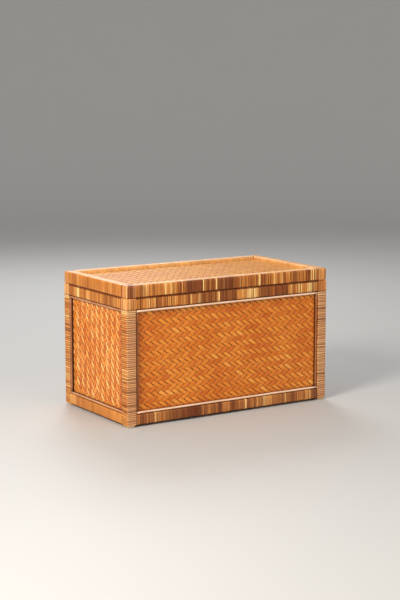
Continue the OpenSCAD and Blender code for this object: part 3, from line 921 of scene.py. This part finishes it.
# A stub of rounded square sections: point = centre + level's size * outline, at the level's height
def footStub(centre, low, high, s):
    size = s["size"]
    radii = [size * s["round"]] * 4
    outline, _, arc = roundedOutline(np.full(2, -size / 2), np.full(2, size / 2), radii, 4, 1)
    levels = np.array(s["levels"])
    points = np.zeros((len(levels), len(outline), 3))
    points[:, :, :2] = np.array(centre) + levels[:, 1, None, None] * outline[None]
    points[:, :, 2] = (low + (high - low) * levels[:, 0])[:, None]
    rows, cols = points.shape[:2]
    blank = np.zeros((rows, cols))
    return stripShell(points, tubeFaces(rows, cols), np.full(rows, 0.5), blank, blank, blank,
                      np.ones((rows, 1)) * arc, points[:, :1, 2] * np.ones((1, cols + 1)))


# Sets a foot under the middle of each post
def setFeet():
    low, high = (np.array(v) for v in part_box("feet"))
    postLow, postHigh = (np.array(v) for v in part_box("post_front_left"))
    inset = (postLow + postHigh)[:2] / 2
    shells = [footStub((-c[0] * inset[0], -c[1] * inset[1]), low[2], high[2], foot)
              for c in corners.values()]
    makePiece("turned_feet", shells, "body", "foot_wood", finishes["footWood"], "feet")


setFeet()
print("feet set")


studio = {
    "floor": colour(190, 188, 184), "rough": 0.6,
    "speck": colour(172, 170, 166), "specks": 0.06, "speckScale": 3.0,
    "middle": 0.01, "flat": 6.5, "bend": 2.5, "wall": 4.0, "bendSteps": 16, "roundSteps": 96,
    "air": (0.90, 0.92, 0.96, 1.0), "airStrength": 0.55,
    "aim": (0, 0, 0.25),
    "lamps": {
        "key": {"place": (-3.6, -1.6, 2.6), "size": 1.6, "power": 200, "colour": (1.0, 0.94, 0.86)},
        "front": {"place": (0.6, -4.2, 2.2), "size": 2.4, "power": 60, "colour": (1.0, 0.97, 0.93)},
        "back": {"place": (1.2, 3.2, 2.8), "size": 2.0, "power": 70, "colour": (0.93, 0.96, 1.0)},
    },
}


# The pale floor, the air's even light and three round lamps that face the trunk
def makeStudio(s):
    g = Graph("studio_floor")
    place = g.node("ShaderNodeTexCoord", None, None, "Object")
    soft = g.noise(place, s["speckScale"])
    shade = g.mix(soft * s["specks"], s["floor"], s["speck"])
    material = g.finish(Base_Color=shade, Roughness=s["rough"])
    # a flat disc that curves up into a low wall: radius and height follow a quarter circle
    bend = np.linspace(0, math.pi / 2, s["bendSteps"])
    radius = np.concatenate([[s["middle"]], s["flat"] + s["bend"] * np.sin(bend), [s["flat"] + s["bend"]]])
    z = np.concatenate([[0], s["bend"] * (1 - np.cos(bend)), [s["wall"]]])
    angle = np.arange(s["roundSteps"]) * 2 * math.pi / s["roundSteps"]
    points = np.stack(np.broadcast_arrays(radius[:, None] * np.cos(angle), radius[:, None] * np.sin(angle),
                                          z[:, None]), axis=-1).reshape(-1, 3)
    mesh = bpy.data.meshes.new("studio_floor")
    disc = [list(range(s["roundSteps"]))]
    mesh.from_pydata(points.tolist(), [], gridFaces(len(z), len(angle), roundCols=True).tolist() + disc)
    mesh.polygons.foreach_set("use_smooth", np.ones(len(mesh.polygons), dtype=bool))
    mesh.materials.append(material)
    floor = bpy.data.objects.new("studio_floor", mesh)
    bpy.context.scene.collection.objects.link(floor)
    world = bpy.data.worlds.new("air")
    world.use_nodes = True
    world.node_tree.nodes["Background"].inputs["Color"].default_value = s["air"]
    world.node_tree.nodes["Background"].inputs["Strength"].default_value = s["airStrength"]
    bpy.context.scene.world = world
    bpy.context.scene.view_settings.view_transform = "Standard"
    for name, lamp in s["lamps"].items():
        data = bpy.data.lights.new(name, "AREA")
        data.shape, data.size, data.energy, data.color = "DISK", lamp["size"], lamp["power"], lamp["colour"]
        obj = bpy.data.objects.new(name, data)
        obj.location = lamp["place"]
        aim = np.array(s["aim"]) - np.array(lamp["place"])
        flat = math.hypot(aim[0], aim[1])
        obj.rotation_euler = (math.atan2(flat, -aim[2]), 0, math.atan2(-aim[0], aim[1]))
        bpy.context.scene.collection.objects.link(obj)


makeStudio(studio)


# Gives every CAD node a finish, by the start of its name
def dressNodes():
    dress = {"hinge": "brass", "floor_board": "floorWood", "lid_board": "floorWood", "board": "panelWood"}
    for name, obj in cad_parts.items():
        key = next((k for k in dress if name.startswith(k)), None)
        material = finishes[dress[key]] if key else finishes["frameWood"]
        for slot in obj.material_slots:
            slot.material = material


dressNodes()
print("CAD nodes dressed")
